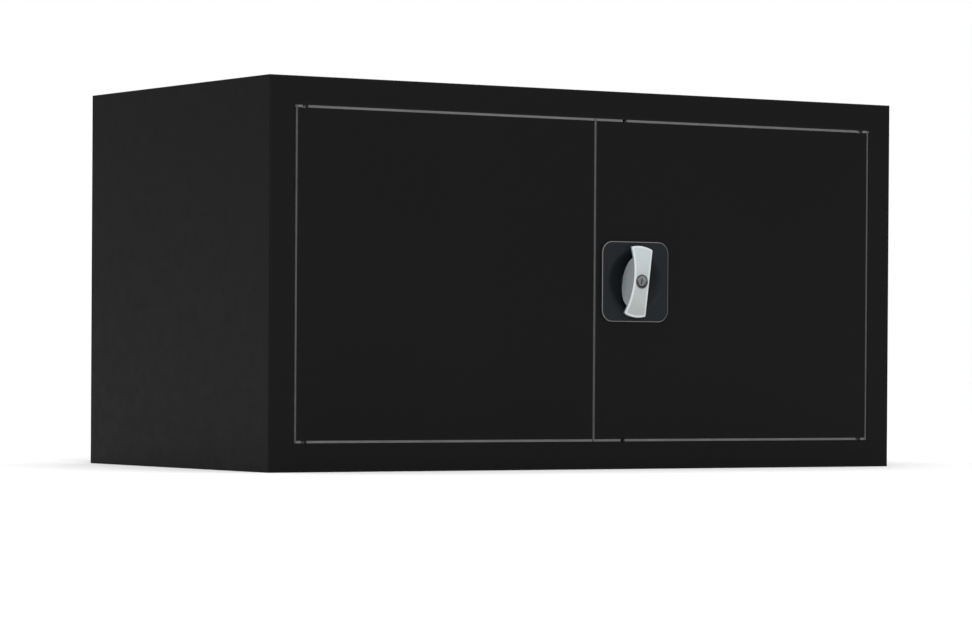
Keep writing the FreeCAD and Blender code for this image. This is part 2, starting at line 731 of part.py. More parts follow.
def bolt_notches():
    """Notches in the collar for the lock bolt, with the handle open and closed."""
    cuts = []
    for turn in (0, 90):
        wide = BOLT_TONGUE / 2 + 2 * BOLT_CLEAR
        cut = block(
            AXIS_X - wide, AXIS_X + wide, FRONT + COLLAR_BACK - 8, FRONT + COLLAR_BACK - SHEET,
            AXIS_Z, AXIS_Z + HUB_RADIUS + BOLT_TRAVEL + 2 * BOLT_CLEAR,
        )
        cut.rotate(vec(AXIS_X, 0, AXIS_Z), vec(0, 1, 0), HANDLE_TILT + turn)
        cuts.append(cut)
    return cuts


def rosette():
    """Square plate with a round finger bowl, a collar for the handle hub and four studs."""
    half_w = ROSETTE_WIDTH / 2
    half_h = ROSETTE_HEIGHT / 2
    plate = block(AXIS_X - half_w, AXIS_X + half_w, PLATE_FRONT, FRONT, AXIS_Z - half_h, AXIS_Z + half_h)
    plate = filleted(plate, ROSETTE_CORNER, lambda edge: runs_along(edge, 1))
    plate = filleted(plate, ROSETTE_EDGE, lambda edge: in_plane(edge, 1, PLATE_FRONT))
    centre = vec(AXIS_X, BOWL_CENTRE, AXIS_Z)
    shell = Part.makeSphere(BOWL_RADIUS + BOWL_WALL, centre)
    shell = shell.common(rod_y(BOWL_RIM + BOWL_WALL, FRONT, FRONT + COLLAR_BACK + 10))
    collar = rod_y(COLLAR_RADIUS, FRONT + COLLAR_BACK - 5, FRONT + COLLAR_BACK)
    studs = [rod_y(STUD_RADIUS, FRONT, FRONT + STUD_LENGTH, x, z) for x, z in stud_places()]
    body = joined([plate, shell, collar] + studs)
    hub_hole = rod_y(HUB_RADIUS + HUB_CLEAR, PLATE_FRONT - 1, FRONT + COLLAR_BACK + 10)
    body = without(body, [Part.makeSphere(BOWL_RADIUS, centre), hub_hole] + bolt_notches())
    rim = [e for e in body.Edges if in_plane(e, 1, PLATE_FRONT) and e.Curve.TypeId == "Part::GeomCircle"
           and abs(e.Curve.Radius - BOWL_RIM) < 1e-3]
    return body.makeFillet(BOWL_ROUND, rim)


def hexagon(across, y0, y1, x, z):
    points = [
        vec(x + across * math.cos(math.radians(60 * i)), y0, z + across * math.sin(math.radians(60 * i)))
        for i in range(7)
    ]
    return Part.Face(Part.makePolygon(points)).extrude(vec(0, y1 - y0, 0))


def rosette_nuts():
    nuts = []
    for x, z in stud_places():
        nut = hexagon(NUT_RADIUS, FRONT + SHEET, FRONT + SHEET + NUT_THICK, x, z)
        nuts.append(without(nut, [rod_y(STUD_RADIUS + RUN_FIT, FRONT, FRONT + 2 * NUT_THICK, x, z)]))
    return Part.makeCompound(nuts)


# ---- handle ----
def grip_outline():
    """Front view of the grip, run along y: round ends and hollow long sides."""
    end = GRIP_END / 2
    high = math.sqrt(GRIP_REACH ** 2 - end ** 2)
    front = GRIP_FRONT - 5
    right_top = vec(end, front, high)
    right_low = vec(end, front, -high)
    left_top = vec(-end, front, high)
    left_low = vec(-end, front, -high)
    edges = [
        Part.Arc(left_top, vec(0, front, GRIP_REACH), right_top).toShape(),
        Part.Arc(right_top, vec(GRIP_WAIST / 2, front, 0), right_low).toShape(),
        Part.Arc(right_low, vec(0, front, -GRIP_REACH), left_low).toShape(),
        Part.Arc(left_low, vec(-GRIP_WAIST / 2, front, 0), left_top).toShape(),
    ]
    outline = Part.Face(Part.Wire(edges)).extrude(vec(0, FRONT + 2 * GRIP_PROUD - front, 0))
    outline = filleted(outline, GRIP_CORNER, lambda edge: runs_along(edge, 1))
    outline.translate(vec(AXIS_X, 0, AXIS_Z))
    return outline


def lying_cylinder(radius, y, drop=0):
    start = vec(AXIS_X - GRIP_END, y, AXIS_Z - drop)
    end = vec(AXIS_X + GRIP_END, y, AXIS_Z - drop)
    return rod_between(radius, start, end)


def handle_turned(shape):
    """Turns a piece of the handle clockwise to its rest position."""
    turned = shape.copy()
    turned.rotate(vec(AXIS_X, 0, AXIS_Z), vec(0, 1, 0), HANDLE_TILT)
    return turned


def bolt_channel():
    """Room for the lock bolt in the hub, with the bolt's whole travel."""
    low = BOLT_MID - BOLT_THICK / 2 - BOLT_CLEAR
    high = BOLT_MID + BOLT_THICK / 2 + BOLT_CLEAR
    wide = BOLT_BODY / 2 + BOLT_CLEAR
    narrow = BOLT_TONGUE / 2 + BOLT_CLEAR
    shoulder = BOLT_SHOULDER + BOLT_TRAVEL + BOLT_CLEAR
    return [
        block(AXIS_X - wide, AXIS_X + wide, low, high, AXIS_Z - BOLT_TAIL - BOLT_CLEAR, AXIS_Z + shoulder),
        block(AXIS_X - narrow, AXIS_X + narrow, low, high, AXIS_Z, AXIS_Z + HUB_RADIUS + 1),
    ]


def grip_blank():
    """Curved wings and the half disc that stands in the bowl."""
    outer = lying_cylinder(GRIP_CROWN, GRIP_FRONT + GRIP_CROWN)
    inner = lying_cylinder(GRIP_CROWN - GRIP_WING, GRIP_FRONT + GRIP_CROWN)
    disc_depth = BOWL_CENTRE + BOWL_RADIUS - GRIP_CLEAR
    disc = lying_cylinder(GRIP_DISC, disc_depth - GRIP_DISC, DISC_DROP)
    profile = joined([outer.cut(inner), disc.common(outer)])
    body = grip_outline().common(profile)
    front_edges = [
        e for e in body.Edges
        if all(abs(math.hypot(p.y - GRIP_FRONT - GRIP_CROWN, p.z - AXIS_Z) - GRIP_CROWN) < 1e-3
               for p in e.discretize(5))
    ]
    return body.makeFillet(GRIP_ROUND, front_edges)


def lock_room():
    """Room for the cylinder, the crank and the bolt."""
    return [
        rod_y(CYLINDER_RADIUS + RUN_FIT, GRIP_FRONT - 5, FRONT + CYLINDER_BACK),
        rod_y(CRANK_DISC + LOOSE, FRONT, BOLT_MID),
    ] + bolt_channel()


def grip():
    return handle_turned(without(grip_blank(), lock_room()))


def handle_hub():
    """Round hub that turns in the rosette's collar.  The grip's half disc is let into it."""
    hub = rod_y(HUB_RADIUS, FRONT + HUB_FRONT, FRONT + COLLAR_BACK - HUB_CLEAR)
    return handle_turned(without(hub, [grip_blank()] + lock_room()))


def lock_cylinder():
    """Cylinder housing with a dished bezel."""
    front = GRIP_FRONT - CYLINDER_PROUD
    body = rod_y(CYLINDER_RADIUS, front, FRONT + CYLINDER_BACK)
    body = filleted(body, CYLINDER_PROUD / 2, lambda edge: in_plane(edge, 1, front) and edge.Length > 10)
    dish = Part.makeCone(
        CYLINDER_BEZEL, PLUG_RADIUS + RUN_FIT, BEZEL_DEPTH, vec(AXIS_X, front, AXIS_Z), vec(0, 1, 0),
    )
    bore = rod_y(PLUG_RADIUS + RUN_FIT, front - 1, FRONT + CYLINDER_BACK + 1)
    return handle_turned(without(body, [dish, bore]))


def key_plug():
    """Plug with its keyway, and a crank pin on its rear end."""
    front = GRIP_FRONT - CYLINDER_PROUD + BEZEL_DEPTH
    rear = FRONT + CYLINDER_BACK - RUN_FIT
    plug = rod_y(PLUG_RADIUS, front, rear)
    keyway = block(
        AXIS_X - KEYWAY / 2, AXIS_X + KEYWAY / 2, front - 1, front + KEYWAY_DEPTH,
        AXIS_Z - KEYWAY_HEIGHT / 2, AXIS_Z + KEYWAY_HEIGHT / 2,
    )
    disc_rear = BOLT_MID - BOLT_THICK / 2 - 2 * BOLT_CLEAR
    disc = rod_y(CRANK_DISC, rear, disc_rear)
    offset = CRANK_THROW * math.sin(math.radians(45))
    pin = rod_y(CRANK_PIN, disc_rear, BOLT_MID + BOLT_THICK / 2, AXIS_X - offset, AXIS_Z - offset)
    return handle_turned(joined([without(plug, [keyway]), disc, pin]))


def lock_bolt():
    """Bolt in the hub, with a cross slot for the crank pin."""
    low = BOLT_MID - BOLT_THICK / 2
    high = BOLT_MID + BOLT_THICK / 2
    start = CRANK_THROW * math.sin(math.radians(45))
    tip = HUB_RADIUS - 2 * BOLT_CLEAR
    bolt = joined([
        block(AXIS_X - BOLT_BODY / 2, AXIS_X + BOLT_BODY / 2, low, high,
              AXIS_Z - BOLT_TAIL, AXIS_Z + BOLT_SHOULDER),
        block(AXIS_X - BOLT_TONGUE / 2, AXIS_X + BOLT_TONGUE / 2, low, high,
              AXIS_Z, AXIS_Z + tip),
    ])
    reach = CRANK_PIN + CRANK_CLEAR
    slot = block(
        AXIS_X - CRANK_THROW - reach, AXIS_X - start + reach, low - 1, high + 1,
        AXIS_Z - start - reach, AXIS_Z - start + reach,
    )
    return handle_turned(without(bolt, [slot]))


def spindle():
    """Round through the case, square in the lever, drilled for its end screw."""
    hub_rear = FRONT + COLLAR_BACK - HUB_CLEAR
    square = SPINDLE_SQUARE / 2
    body = joined([
        rod_y(SPINDLE_RADIUS, hub_rear, LEVER_FRONT),
        block(
            AXIS_X - square, AXIS_X + square, LEVER_FRONT, LEVER_REAR - RUN_FIT,
            AXIS_Z - square, AXIS_Z + square,
        ),
    ])
    drill = rod_y(END_SCREW_RADIUS + RUN_FIT, LEVER_REAR - END_SCREW_LENGTH - 0.5, LEVER_REAR + 1)
    return without(body, [drill])


# ---- rack and pinion ----
def pinion_point(radius, angle, y):
    return vec(AXIS_X + radius * math.cos(angle), y, AXIS_Z + radius * math.sin(angle))


def tooth_half_angle(radius):
    """Half the angle that a pinion tooth fills at a radius, with its backlash taken off."""
    base = PITCH_RADIUS * math.cos(PRESSURE)
    pitch_half = math.pi / (2 * PINION_TEETH) - BACKLASH / (2 * PITCH_RADIUS)
    swing = math.acos(min(1, base / radius))
    return pitch_half + (math.tan(PRESSURE) - PRESSURE) - (math.tan(swing) - swing)


def drive_pinion():
    """Involute pinion.  One of its tooth spaces faces each rack."""
    y = FRONT + RACK_BACK
    root = PITCH_RADIUS - DEDENDUM
    tip = PITCH_RADIUS + ADDENDUM
    base = PITCH_RADIUS * math.cos(PRESSURE)
    flank = [base + (tip - base) * i / 4 for i in range(5)]
    edges = []
    for i in range(PINION_TEETH):
        middle = 2 * math.pi * (i + 0.5) / PINION_TEETH
        rise = [pinion_point(r, middle - tooth_half_angle(r), y) for r in flank]
        fall = [pinion_point(r, middle + tooth_half_angle(r), y) for r in reversed(flank)]
        foot_start = pinion_point(root, middle - tooth_half_angle(base), y)
        foot_end = pinion_point(root, middle + tooth_half_angle(base), y)
        next_middle = middle + 2 * math.pi / PINION_TEETH
        next_foot = pinion_point(root, next_middle - tooth_half_angle(base), y)
        root_mid = pinion_point(root, middle + math.pi / PINION_TEETH, y)
        up = Part.BSplineCurve()
        up.interpolate(rise)
        down = Part.BSplineCurve()
        down.interpolate(fall)
        edges += [
            Part.LineSegment(foot_start, rise[0]).toShape(),
            up.toShape(),
            Part.Arc(rise[-1], pinion_point(tip, middle, y), fall[0]).toShape(),
            down.toShape(),
            Part.LineSegment(fall[-1], foot_end).toShape(),
            Part.Arc(foot_end, root_mid, next_foot).toShape(),
        ]
    gear = Part.Face(Part.Wire(edges)).extrude(vec(0, RACK_THICK, 0))
    return without(gear, [rod_y(SPINDLE_RADIUS + RUN_FIT, y - 1, y + RACK_THICK + 1)])


def rack_teeth(side, low, high):
    """Rack teeth facing the pinion, from the side (-1 left, 1 right), between two heights about its axis."""
    pitch = math.pi * MODULE
    y = FRONT + RACK_BACK
    root_x = side * (PITCH_RADIUS + DEDENDUM)
    tip_x = side * (PITCH_RADIUS - ADDENDUM)
    slope = math.tan(PRESSURE)
    half = pitch / 4 - BACKLASH / 2
    half_root = half + DEDENDUM * slope
    half_tip = half - ADDENDUM * slope
    teeth = []
    for i in range(math.ceil((low + half_root) / pitch), math.floor((high - half_root) / pitch) + 1):
        z = i * pitch
        corners = [
            (root_x, z - half_root), (tip_x, z - half_tip), (tip_x, z + half_tip), (root_x, z + half_root),
        ]
        points = [vec(AXIS_X + a, y, AXIS_Z + b) for a, b in corners + corners[:1]]
        teeth.append(Part.Face(Part.makePolygon(points)).extrude(vec(0, RACK_THICK, 0)))
    return teeth


def rack_reach():
    """How far a rack's teeth run past the pinion's axis."""
    return math.pi * MODULE * 1.25


def upper_rack():
    """Rack left of the pinion, straight up to the upper rod."""
    low = -RACK_TRAVEL - rack_reach()
    high = rack_reach()
    y0 = FRONT + RACK_BACK
    plate = block(
        ROD_X - ROD_RADIUS, AXIS_X - PITCH_RADIUS - DEDENDUM,
        y0, y0 + RACK_THICK, AXIS_Z + low, AXIS_Z + high,
    )
    stem = block(
        ROD_X - ROD_RADIUS, ROD_X + ROD_RADIUS, y0, y0 + RACK_THICK, AXIS_Z + high, AXIS_Z + RACK_HEAD,
    )
    return joined([plate, stem] + rack_teeth(-1, low, high))


def lower_rack():
    """Rack right of the pinion, carried under it to the lower rod."""
    low = -rack_reach()
    high = RACK_TRAVEL + rack_reach()
    y0 = FRONT + RACK_BACK
    y1 = y0 + RACK_THICK
    root_x = AXIS_X + PITCH_RADIUS + DEDENDUM
    arm = block(root_x, root_x + RACK_ARM, y0, y1, AXIS_Z - RACK_HEAD, AXIS_Z + high)
    cross = block(
        ROD_X - ROD_RADIUS, root_x, y0, y1, AXIS_Z - RACK_HEAD, AXIS_Z - RACK_HEAD + RACK_CROSS,
    )
    return joined([arm, cross] + rack_teeth(1, low, high))


def lock_rod(upper):
    """Round rod from its rack to the door's edge, with a bevelled tip."""
    if upper:
        start = AXIS_Z + RACK_HEAD
        tip = DOOR_HIGH + ROD_PROUD
    else:
        start = AXIS_Z - RACK_HEAD
        tip = DOOR_LOW - ROD_PROUD
    rod = rod_z(ROD_RADIUS, ROD_X, ROD_Y, start, tip)
    return rod.makeChamfer(ROD_TIP, [e for e in rod.Edges if in_plane(e, 2, tip)])


def rod_keeper(upper):
    """Ring in the rail that takes a rod."""
    edge = OPEN_HIGH if upper else OPEN_LOW
    way = 1 if upper else -1
    bore = ROD_RADIUS + ROD_CLEAR
    ring = joined([
        rod_z(bore + KEEPER_WALL, ROD_X, ROD_Y, edge, edge + way * SHEET),
        rod_z(KEEPER_COLLAR, ROD_X, ROD_Y, edge + way * SHEET, edge + way * (SHEET + KEEPER_THICK)),
    ])
    end = edge + way * (2 * SHEET + 2 * KEEPER_THICK)
    return without(ring, [rod_z(bore, ROD_X, ROD_Y, edge - way, end)])


def rod_guides():
    """Angle brackets behind the door's face that guide the rods."""
    half = SHEET / 2
    guides = []
    for z, way in ((DOOR_LOW + GUIDE_INSET, 1), (DOOR_HIGH - GUIDE_INSET, -1)):
        line = [
            (FRONT + SHEET + half, z + way * GUIDE_FOOT),
            (FRONT + SHEET + half, z),
            (ROD_Y + ROD_RADIUS + 2 * SHEET, z),
        ]
        bracket = folded(line, SHEET, "yz", ROD_X - GUIDE_WIDTH / 2, ROD_X + GUIDE_WIDTH / 2)
        hole = rod_z(ROD_RADIUS + ROD_CLEAR / 2, ROD_X, ROD_Y, z - 2 * SHEET, z + 2 * SHEET)
        guides.append(without(bracket, [hole]))
    return Part.makeCompound(guides)


# ---- lock case and lever ----
def case_screw_places():
    x = CASE_HALF + CASE_FOOT / 2
    return [(AXIS_X + s * x, AXIS_Z + t * SCREW_SPREAD / 2) for s in (-1, 1) for t in (-1, 1)]


def lock_case():
    """Bridge over the racks, screwed to the door."""
    half = CASE_WALL / 2
    near = FRONT + SHEET + half
    far = FRONT + CASE_BACK + half
    line = [
        (AXIS_X - CASE_HALF - CASE_FOOT, near),
        (AXIS_X - CASE_HALF, near),
        (AXIS_X - CASE_HALF, far),
        (AXIS_X + CASE_HALF, far),
        (AXIS_X + CASE_HALF, near),
        (AXIS_X + CASE_HALF + CASE_FOOT, near),
    ]
    case = folded(line, CASE_WALL, "xy", AXIS_Z - CASE_HEIGHT / 2, AXIS_Z + CASE_HEIGHT / 2)
    cuts = [rod_y(SPINDLE_RADIUS + RUN_FIT, FRONT + CASE_BACK - 1, FRONT + CASE_BACK + 2 * CASE_WALL)]
    for x, z in case_screw_places():
        cuts.append(rod_y(END_SCREW_RADIUS + LOOSE, FRONT, FRONT + SHEET + 2 * CASE_WALL, x, z))
    return without(case, cuts)


def case_screws():
    screws = []
    seat = FRONT + SHEET + CASE_WALL
    for x, z in case_screw_places():
        screws.append(joined([
            rod_y(SCREW_HEAD, seat, seat + SCREW_HEAD_THICK, x, z),
            rod_y(END_SCREW_RADIUS, FRONT + SHEET / 2, seat, x, z),
        ]))
    return Part.makeCompound(screws)


def thrust_washer():
    start = FRONT + CASE_BACK + CASE_WALL
    ring = rod_y(THRUST_RADIUS, start, start + THRUST_THICK)
    return without(ring, [rod_y(SPINDLE_RADIUS + RUN_FIT, start - 1, start + THRUST_THICK + 1)])


def latch_lever():
    """Tongue on the spindle's square, hanging down at rest."""
    root = LEVER_ROOT / 2
    tip = LEVER_TIP / 2
    low = -LEVER_LENGTH
    corners = [(-root, 0), (-tip, low + tip), (tip, low + tip), (root, 0)]
    points = [vec(AXIS_X + a, LEVER_FRONT, AXIS_Z + b) for a, b in corners]
    end = vec(AXIS_X, LEVER_FRONT, AXIS_Z + low)
    edges = [
        Part.LineSegment(points[0], points[1]).toShape(),
        Part.Arc(points[1], end, points[2]).toShape(),
        Part.LineSegment(points[2], points[3]).toShape(),
        Part.LineSegment(points[3], points[0]).toShape(),
    ]
    arm = Part.Face(Part.Wire(edges)).extrude(vec(0, LEVER_THICK, 0))
    hub = rod_y(LEVER_HUB, LEVER_FRONT, LEVER_REAR)
    square = SPINDLE_SQUARE / 2 + RUN_FIT
    hole = block(
        AXIS_X - square, AXIS_X + square, LEVER_FRONT - 1, LEVER_REAR + 1, AXIS_Z - square, AXIS_Z + square,
    )
    return without(joined([arm, hub]), [hole])


def lever_washer():
    ring = rod_y(WASHER_RADIUS, LEVER_REAR, LEVER_REAR + WASHER_THICK)
    return without(ring, [rod_y(END_SCREW_RADIUS + LOOSE, LEVER_REAR - 1, LEVER_REAR + WASHER_THICK + 1)])


def lever_screw():
    seat = LEVER_REAR + WASHER_THICK
    return joined([
        rod_y(END_SCREW_HEAD, seat, seat + END_SCREW_HEAD_THICK),
        rod_y(END_SCREW_RADIUS, seat - END_SCREW_LENGTH, seat),
    ])


def latch_keeper():
    """Wear plate behind the left door's edge, where the lever bears."""
    rear = FRONT + DOOR_DEPTH
    half = LATCH_KEEPER_HEIGHT / 2
    return block(
        -DOOR_IN - LATCH_KEEPER_WIDTH, -DOOR_IN, rear, LEVER_FRONT - LATCH_CLEAR,
        AXIS_Z - half, AXIS_Z + half,
    )


def nodes():
    """Every piece by name."""
    front_y, rear_y = upright_places()
    left = side_panel()
    door_middle = (DOOR_OUT + DOOR_IN) / 2
    return {
        "left_side_panel": left,
        "right_side_panel": mirrored(left),
        "top_panel": rail_panel(TOP_RAIL, -1, HEIGHT),
        "bottom_panel": bottom_panel(),
        "back_panel": back_panel(),
        "back_rivets": back_rivets(),
        "left_front_upright": upright(-1, front_y),
        "left_rear_upright": upright(-1, rear_y),
        "right_front_upright": upright(1, front_y),
        "right_rear_upright": upright(1, rear_y),
        "shelf": shelf(),
        "shelf_clips": shelf_clips(),
        "left_upper_hinge_bush": hinge_bush(-HINGE_X, True),
        "left_lower_hinge_bush": hinge_bush(-HINGE_X, False),
        "right_upper_hinge_bush": hinge_bush(HINGE_X, True),
        "right_lower_hinge_bush": hinge_bush(HINGE_X, False),
        "upper_rod_keeper": rod_keeper(True),
        "lower_rod_keeper": rod_keeper(False),
        "door_buffers": door_buffers(),
        "top_seal": top_seal(),
        "left_door_panel": left_door_panel(),
        "left_door_stiffener": stiffener(-door_middle),
        "left_upper_hinge_pin": hinge_pin(-HINGE_X, True),
        "left_lower_hinge_pin": hinge_pin(-HINGE_X, False),
        "left_hinge_brackets": hinge_brackets(-HINGE_X),
        "left_door_seal": left_door_seal(),
        "latch_keeper": latch_keeper(),
        "right_door_panel": right_door_panel(),
        "right_door_stiffener": stiffener(door_middle),
        "right_upper_hinge_pin": hinge_pin(HINGE_X, True),
        "right_lower_hinge_pin": hinge_pin(HINGE_X, False),
        "right_hinge_brackets": hinge_brackets(HINGE_X),
        "right_door_seal": right_door_seal(),
        "rosette": rosette(),
        "rosette_nuts": rosette_nuts(),
        "lock_case": lock_case(),
        "case_screws": case_screws(),
        "rod_guides": rod_guides(),
        "handle_grip": grip(),
        "handle_hub": handle_hub(),
        "lock_cylinder": lock_cylinder(),
        "spindle": spindle(),
        "drive_pinion": drive_pinion(),
        "thrust_washer": thrust_washer(),
        "latch_lever": latch_lever(),
        "lever_washer": lever_washer(),
        "lever_screw": lever_screw(),
        "key_plug": key_plug(),
        "lock_bolt": lock_bolt(),
        "upper_rack": upper_rack(),
        "upper_rod": lock_rod(True),
        "lower_rack": lower_rack(),
        "lower_rod": lock_rod(False),
    }


os.makedirs("parts", exist_ok=True)
for name, shape in nodes().items():
    shape.exportStep("parts/" + name + ".step")
    print(name, len(shape.Solids), round(shape.Volume, 1), shape.isValid())
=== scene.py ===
"""Two-door steel top cabinet: materials, floor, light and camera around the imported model."""
import json
import math

import bpy
from mathutils import Matrix, Vector

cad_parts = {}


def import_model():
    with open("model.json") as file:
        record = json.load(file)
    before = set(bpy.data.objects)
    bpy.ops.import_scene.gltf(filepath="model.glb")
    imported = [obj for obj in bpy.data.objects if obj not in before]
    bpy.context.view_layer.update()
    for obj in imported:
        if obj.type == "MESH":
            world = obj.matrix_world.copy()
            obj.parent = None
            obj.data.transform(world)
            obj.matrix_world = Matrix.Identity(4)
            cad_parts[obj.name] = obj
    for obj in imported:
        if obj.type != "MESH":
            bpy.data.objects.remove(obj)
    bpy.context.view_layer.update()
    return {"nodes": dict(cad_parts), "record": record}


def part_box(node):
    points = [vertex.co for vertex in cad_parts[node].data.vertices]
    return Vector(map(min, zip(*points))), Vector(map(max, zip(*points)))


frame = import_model()
nodes = frame["nodes"]
record = frame["record"]
scene = bpy.context.scene

# ---- camera, in metres ----
CAMERA_PLACE = Vector((-2.88211, -4.56800, 0.13653))
CAMERA_HEADING = math.radians(32.150)   # clockwise from +Y
CAMERA_RISE = math.radians(-0.504)
CAMERA_ROLL = math.radians(0.357)
CAMERA_REACH = 100.0
LENS = 145.60
SENSOR = 36.0
SHIFT_Y = 0.0838

# ---- light and floor, in metres and watts ----
KEY_PLACE = (-2.1, -5.2, 3.0)
KEY_TARGET = (0.0, -0.2, 0.2)
KEY_WIDTH = 2.6
KEY_HEIGHT = 2.0
KEY_POWER = 132.0
SUN_STRENGTH = 3.0
SUN_SPREAD = math.radians(70.0)
SKY_LIGHT = 0.2
BACKDROP = 1.0
FLOOR_HALF = 30.0

# ---- handle plate, from the frame ----
handle_joint = next(j for j in record["behaviour"]["joints"] if j["name"] == "handle_turn")
HANDLE_X, _, HANDLE_Z = handle_joint["pos_m"]
plate_low, plate_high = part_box("rosette")
PLATE_HALF_X = (plate_high.x - plate_low.x) / 2
PLATE_HALF_Z = (plate_high.z - plate_low.z) / 2
PLATE_FRONT = plate_low.y
PLATE_CORNER = 0.016
RIM_HIGHLIGHT_WIDTH = 0.0011         # painted highlight along the plate's border
RIM_DEPTH = 0.0009         # how far it goes round the plate's front edge
BOWL_RADIUS = 0.043
BOWL_SHADE_FADE = 0.008          # from the plate's colour to the painted shade of the bowl

# ---- grip: its outline, which the painted highlight along its border follows ----
HANDLE_TILT = math.radians(7.0)   # clockwise, seen from the front
GRIP_REACH = 0.0475        # axis to the ends
GRIP_HALF_END = 0.0168
GRIP_HALF_WAIST = 0.0122
GRIP_HIGHLIGHT_WIDTH = 0.0022
GRIP_SHADE_BELOW = 0.040           # painted shade, a duller darker grey, from this far below the axis
GRIP_LIGHT_ABOVE = 0.035          # to painted light, a paler cooler grey, this far above it

# ---- seals, from the frame ----
DOOR_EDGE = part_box("right_door_panel")[1].x
HINGE_EDGE = DOOR_EDGE - 0.0007
CENTRE_SEAL = 0.0016       # half width of the seal between the doors

# ---- finishes ----
WORN = 0.99                # cosine under which a bevelled normal counts as an edge
WORN_FADE = 0.24


def rgb(red, green, blue):
    return (red, green, blue, 1.0)


def grey(value):
    return rgb(value, value, value)


class Surface:
    """A node material built round one Principled shader, in object space."""

    def __init__(self, name, roughness, metallic=0.0, specular=0.5):
        self.material = bpy.data.materials.new(name)
        self.material.use_nodes = True
        self.tree = self.material.node_tree
        self.shader = self.tree.nodes["Principled BSDF"]
        self.shader.inputs["Roughness"].default_value = roughness
        self.shader.inputs["Metallic"].default_value = metallic
        self.shader.inputs["Specular IOR Level"].default_value = specular
        self.place = self.node("ShaderNodeTexCoord").outputs["Object"]
        self.bumped = None

    def node(self, kind, **settings):
        made = self.tree.nodes.new(kind)
        for key, value in settings.items():
            setattr(made, key, value)
        return made

    def join(self, source, target):
        self.tree.links.new(source, target)

    def stretched(self, scale):
        """Object coordinates scaled along each axis."""
        mapping = self.node("ShaderNodeMapping")
        mapping.inputs["Scale"].default_value = scale
        self.join(self.place, mapping.inputs["Vector"])
        return mapping.outputs["Vector"]

    def noise(self, scale, detail=3.0, rough=0.5, place=None):
        made = self.node("ShaderNodeTexNoise")
        made.inputs["Scale"].default_value = scale
        made.inputs["Detail"].default_value = detail
        made.inputs["Roughness"].default_value = rough
        self.join(place or self.place, made.inputs["Vector"])
        return made.outputs["Fac"]

    def cells(self, scale):
        made = self.node("ShaderNodeTexVoronoi")
        made.inputs["Scale"].default_value = scale
        self.join(self.place, made.inputs["Vector"])
        return made.outputs["Distance"]

    def spread(self, source, low, high, from_low=0.3, from_high=0.7):
        """Maps a mask to a range of numbers."""
        made = self.node("ShaderNodeMapRange")
        made.inputs["From Min"].default_value = from_low
        made.inputs["From Max"].default_value = from_high
        made.inputs["To Min"].default_value = low
        made.inputs["To Max"].default_value = high
        self.join(source, made.inputs["Value"])
        return made.outputs["Result"]

    def blend(self, mask, first, second):
        """A colour between two, each a colour or a socket."""
        made = self.node("ShaderNodeMix", data_type="RGBA")
        self.join(mask, made.inputs["Factor"])
        for value, target in ((first, made.inputs["A"]), (second, made.inputs["B"])):
            if isinstance(value, tuple):
                target.default_value = value
            else:
                self.join(value, target)
        return made.outputs["Result"]

    def clouded(self, cloud, first, second):
        """Two close colours in soft patches."""
        return self.blend(self.spread(cloud, 0.0, 1.0), first, second)

    def math(self, operation, first, second):
        """A number from two, each a number or a socket."""
        made = self.node("ShaderNodeMath", operation=operation)
        for value, target in zip((first, second), made.inputs):
            if isinstance(value, float):
                target.default_value = value
            else:
                self.join(value, target)
        return made.outputs["Value"]

    def axes(self):
        """The x, y and z of the object coordinates."""
        made = self.node("ShaderNodeSeparateXYZ")
        self.join(self.place, made.inputs["Vector"])
        return made.outputs["X"], made.outputs["Y"], made.outputs["Z"]

    def away(self, source, middle):
        """Distance of a number from a middle value."""
        return self.math("ABSOLUTE", self.math("SUBTRACT", source, middle), 0.0)

    def length(self, a, b):
        squares = self.math("ADD", self.math("POWER", a, 2.0), self.math("POWER", b, 2.0))
        return self.math("SQRT", squares, 0.0)

    def facing(self):
        """How squarely the surface faces the front or rear, 0 to 1, in object space."""
        made = self.node("ShaderNodeSeparateXYZ")
        self.join(self.node("ShaderNodeTexCoord").outputs["Normal"], made.inputs["Vector"])
        return self.math("ABSOLUTE", made.outputs["Y"], 0.0)

    def edges(self, radius):
        """1 on rounded or sharp edges, 0 on flats."""
        bevel = self.node("ShaderNodeBevel", samples=6)
        bevel.inputs["Radius"].default_value = radius
        flat = self.node("ShaderNodeNewGeometry").outputs["Normal"]
        dot = self.node("ShaderNodeVectorMath", operation="DOT_PRODUCT")
        self.join(bevel.outputs["Normal"], dot.inputs[0])
        self.join(flat, dot.inputs[1])
        return self.spread(dot.outputs["Value"], 1.0, 0.0, WORN - WORN_FADE, WORN)

    def bump(self, height, distance, strength=1.0):
        made = self.node("ShaderNodeBump")
        made.inputs["Distance"].default_value = distance
        made.inputs["Strength"].default_value = strength
        self.join(height, made.inputs["Height"])
        if self.bumped is not None:
            self.join(self.bumped, made.inputs["Normal"])
        self.bumped = made.outputs["Normal"]
        self.join(self.bumped, self.shader.inputs["Normal"])

    def colour(self, source):
        self.join(source, self.shader.inputs["Base Color"])

    def roughness(self, source):
        self.join(source, self.shader.inputs["Roughness"])


def powder_coat():
    """Black fine-textured powder coat: orange peel, faint cloudiness and rubbed folds."""
    s = Surface("black_paint", 0.5, specular=0.12)
    cloud = s.noise(3.5, 4.0, 0.55)
    grain = s.noise(1400.0, 2.0, 0.6)
    peel = s.noise(420.0, 3.0, 0.5)
    body = s.clouded(cloud, grey(0.0036), grey(0.0041))
    specks = s.blend(s.spread(grain, 0.0, 1.0, 0.60, 0.75), body, grey(0.012))
    s.colour(s.blend(s.edges(0.0012), specks, grey(0.006)))
    s.roughness(s.spread(s.noise(60.0, 5.0, 0.6), 0.48, 0.56))
    s.bump(peel, 0.00006, 0.5)
    s.bump(grain, 0.00002, 0.4)
    return s.material


